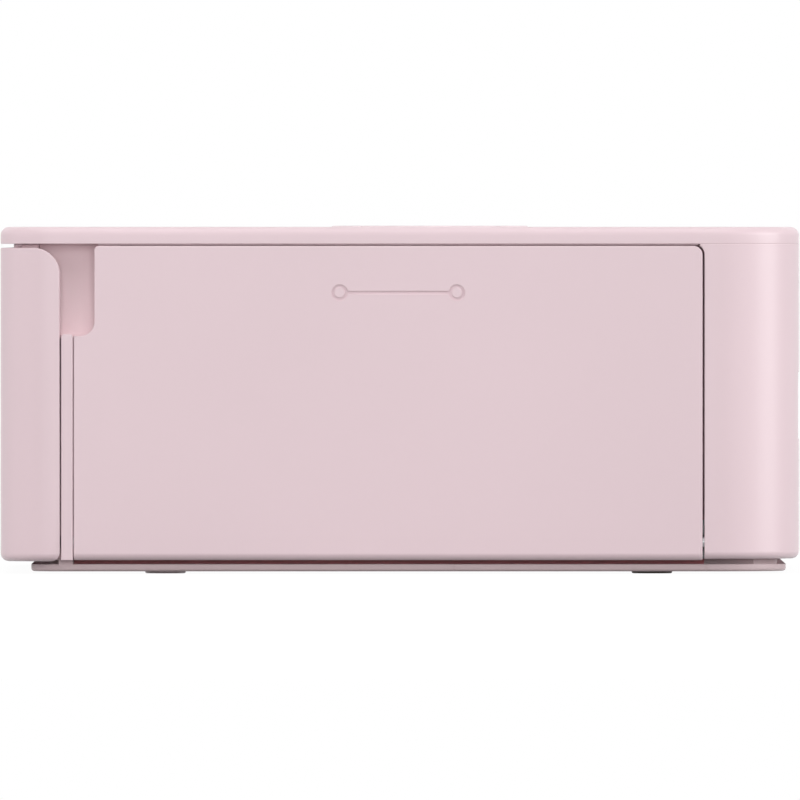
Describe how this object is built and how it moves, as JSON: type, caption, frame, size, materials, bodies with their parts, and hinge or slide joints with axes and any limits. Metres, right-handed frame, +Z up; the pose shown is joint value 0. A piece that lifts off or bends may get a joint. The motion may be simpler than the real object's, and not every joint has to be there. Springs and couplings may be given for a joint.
{
  "type": "compact photo printer",
  "caption": "Compact photo printer with a hinged front cover, a hinged ribbon door, a screen and keys on top, and a thermal printing mechanism inside.",
  "frame": {"origin": "middle of the footprint, on the surface that the printer stands on", "axes": "+X to the right side, where the ribbon door is; -Y to the front; +Z up"},
  "size_m": [0.1822, 0.133, 0.0576],
  "materials": {
    "case_pink": "satin moulded plastic, pale pink",
    "base_mauve": "matt moulded plastic",
    "frame_mauve": "matt moulded plastic",
    "key_plastic": "satin moulded plastic",
    "foot_rubber": "matt rubber",
    "roller_rubber": "ground rubber",
    "screen_glass": "polished",
    "steel": "zinc plated sheet and ground shafts",
    "alloy": "as extruded",
    "brass": "machined",
    "board_green": "solder mask on glass-epoxy board",
    "black_plastic": "matt moulded plastic",
    "gear_plastic": "natural acetal",
    "cassette_plastic": "moulded plastic",
    "head_ceramic": "glazed ceramic strip",
    "film": "thin glossy dye film"
  },
  "bodies": {
    "chassis": {"top_lid": "case_pink", "body_shell": "case_pink", "base_tray": "base_mauve", "front_feet": "case_pink", "rear_feet": "foot_rubber", "case_screws": "steel", "front_frame": "frame_mauve", "ribbon_bay_frame": "case_pink", "rear_slot_frame": "frame_mauve", "screen_window": "screen_glass", "display_module": "steel", "key_board": "board_green", "main_board": "board_green", "board_chips": "black_plastic", "card_slot": "steel", "usb_port": "steel", "dc_jack": "black_plastic", "left_plate": "steel", "right_plate": "steel", "tie_bars": "steel", "paper_guides": "black_plastic", "roller_bushes": "gear_plastic", "drive_bracket": "steel", "drive_motors": "steel", "gearmotors": "black_plastic", "head_pivot_rod": "steel", "head_spring": "steel"},
    "front_cover": {"front_cover": "case_pink", "front_cover_pins": "steel"},
    "ribbon_door": {"ribbon_door": "case_pink", "ribbon_door_pins": "steel"},
    "platen": {"platen_roller": "roller_rubber", "platen_shaft": "steel"},
    "feed": {"feed_roller": "steel", "feed_gear": "gear_plastic"},
    "pinch": {"pinch_roller": "roller_rubber"},
    "pickup": {"pickup_tyres": "roller_rubber", "pickup_shaft": "steel"},
    "feed_pinion": {"feed_pinion": "brass"},
    "ribbon_pinion": {"ribbon_pinion": "brass"},
    "takeup_hub": {"takeup_hub": "gear_plastic"},
    "head": {"head_frame": "steel", "heat_sink": "alloy", "thermal_head": "head_ceramic"},
    "cam": {"head_cam": "gear_plastic"},
    "cassette": {"cassette_case": "cassette_plastic", "ribbon_film": "film"},
    "supply_spool": {"supply_spool": "film"},
    "takeup_spool": {"takeup_spool": "film"},
    "eject_lever": {"eject_lever": "black_plastic"},
    "ok_key": {"ok_key": "key_plastic"},
    "up_key": {"up_key": "key_plastic"},
    "down_key": {"down_key": "key_plastic"},
    "left_key": {"left_key": "key_plastic"},
    "right_key": {"right_key": "key_plastic"},
    "print_button": {"print_button": "key_plastic"},
    "power_button": {"power_button": "key_plastic"},
    "home_button": {"home_button": "key_plastic"},
    "back_button": {"back_button": "key_plastic"},
    "edit_button": {"edit_button": "key_plastic"}
  },
  "joints": [
    {"name": "front_cover_hinge", "type": "hinge", "parent": "chassis", "child": "front_cover", "pos_m": [0, -0.0634, 0.0049], "axis": [1, 0, 0], "range_deg": [0, 90]},
    {"name": "ribbon_door_hinge", "type": "hinge", "parent": "chassis", "child": "ribbon_door", "pos_m": [0.0883, 0, 0.0053], "axis": [0, 1, 0], "range_deg": [0, 90]},
    {"name": "platen_spin", "type": "hinge", "parent": "chassis", "child": "platen", "pos_m": [0, 0.015, 0.017], "axis": [1, 0, 0], "continuous": true},
    {"name": "feed_spin", "type": "hinge", "parent": "chassis", "child": "feed", "pos_m": [0, 0.051, 0.019], "axis": [1, 0, 0], "continuous": true},
    {"name": "pinch_spin", "type": "hinge", "parent": "chassis", "child": "pinch", "pos_m": [0, 0.051, 0.0289], "axis": [1, 0, 0], "continuous": true},
    {"name": "feed_pinion_spin", "type": "hinge", "parent": "chassis", "child": "feed_pinion", "pos_m": [0, 0.051, 0.0317], "axis": [1, 0, 0], "continuous": true},
    {"name": "pickup_spin", "type": "hinge", "parent": "chassis", "child": "pickup", "pos_m": [0, -0.036, 0.032], "axis": [1, 0, 0], "continuous": true},
    {"name": "head_lift", "type": "hinge", "parent": "chassis", "child": "head", "pos_m": [0, 0.056, 0.044], "axis": [1, 0, 0], "range_deg": [0, 4.2]},
    {"name": "cam_spin", "type": "hinge", "parent": "chassis", "child": "cam", "pos_m": [0, 0.0404, 0.0132], "axis": [1, 0, 0], "range_deg": [0, 150]},
    {"name": "cassette_slide", "type": "slide", "parent": "chassis", "child": "cassette", "axis": [1, 0, 0], "range_m": [0, 0.003]},
    {"name": "supply_spin", "type": "hinge", "parent": "cassette", "child": "supply_spool", "pos_m": [0, -0.01, 0.036], "axis": [1, 0, 0], "continuous": true},
    {"name": "takeup_spin", "type": "hinge", "parent": "cassette", "child": "takeup_spool", "pos_m": [0, 0.0355, 0.036], "axis": [1, 0, 0], "continuous": true},
    {"name": "takeup_hub_spin", "type": "hinge", "parent": "chassis", "child": "takeup_hub", "pos_m": [0, 0.0355, 0.036], "axis": [1, 0, 0], "continuous": true},
    {"name": "ribbon_pinion_spin", "type": "hinge", "parent": "chassis", "child": "ribbon_pinion", "pos_m": [0, 0.0228, 0.036], "axis": [1, 0, 0], "continuous": true},
    {"name": "eject_lever_slide", "type": "slide", "parent": "chassis", "child": "eject_lever", "axis": [0, 1, 0], "range_m": [0, 0.004]},
    {"name": "ok_key_press", "type": "slide", "parent": "chassis", "child": "ok_key", "axis": [0, 0, -1], "range_m": [0, 0.0005], "stiffness_N_per_m": 800},
    {"name": "up_key_press", "type": "slide", "parent": "chassis", "child": "up_key", "axis": [0, 0, -1], "range_m": [0, 0.0005], "stiffness_N_per_m": 800},
    {"name": "down_key_press", "type": "slide", "parent": "chassis", "child": "down_key", "axis": [0, 0, -1], "range_m": [0, 0.0005], "stiffness_N_per_m": 800},
    {"name": "left_key_press", "type": "slide", "parent": "chassis", "child": "left_key", "axis": [0, 0, -1], "range_m": [0, 0.0005], "stiffness_N_per_m": 800},
    {"name": "right_key_press", "type": "slide", "parent": "chassis", "child": "right_key", "axis": [0, 0, -1], "range_m": [0, 0.0005], "stiffness_N_per_m": 800},
    {"name": "print_button_press", "type": "slide", "parent": "chassis", "child": "print_button", "axis": [0, 0, -1], "range_m": [0, 0.0005], "stiffness_N_per_m": 800},
    {"name": "power_button_press", "type": "slide", "parent": "chassis", "child": "power_button", "axis": [0, 0, -1], "range_m": [0, 0.0005], "stiffness_N_per_m": 800},
    {"name": "home_button_press", "type": "slide", "parent": "chassis", "child": "home_button", "axis": [0, 0, -1], "range_m": [0, 0.0005], "stiffness_N_per_m": 800},
    {"name": "back_button_press", "type": "slide", "parent": "chassis", "child": "back_button", "axis": [0, 0, -1], "range_m": [0, 0.0005], "stiffness_N_per_m": 800},
    {"name": "edit_button_press", "type": "slide", "parent": "chassis", "child": "edit_button", "axis": [0, 0, -1], "range_m": [0, 0.0005], "stiffness_N_per_m": 800}
  ],
  "couplings": [
    {"joint": "pinch_spin", "follows": "feed_spin", "ratio": -1.1111},
    {"joint": "feed_pinion_spin", "follows": "feed_spin", "ratio": -2.5},
    {"joint": "cam_spin", "follows": "head_lift", "ratio": 35.714},
    {"joint": "takeup_hub_spin", "follows": "takeup_spin", "ratio": 1},
    {"joint": "ribbon_pinion_spin", "follows": "takeup_spin", "ratio": -2.5},
    {"joint": "eject_lever_slide", "follows": "cassette_slide", "ratio": 1.3333}
  ]
}
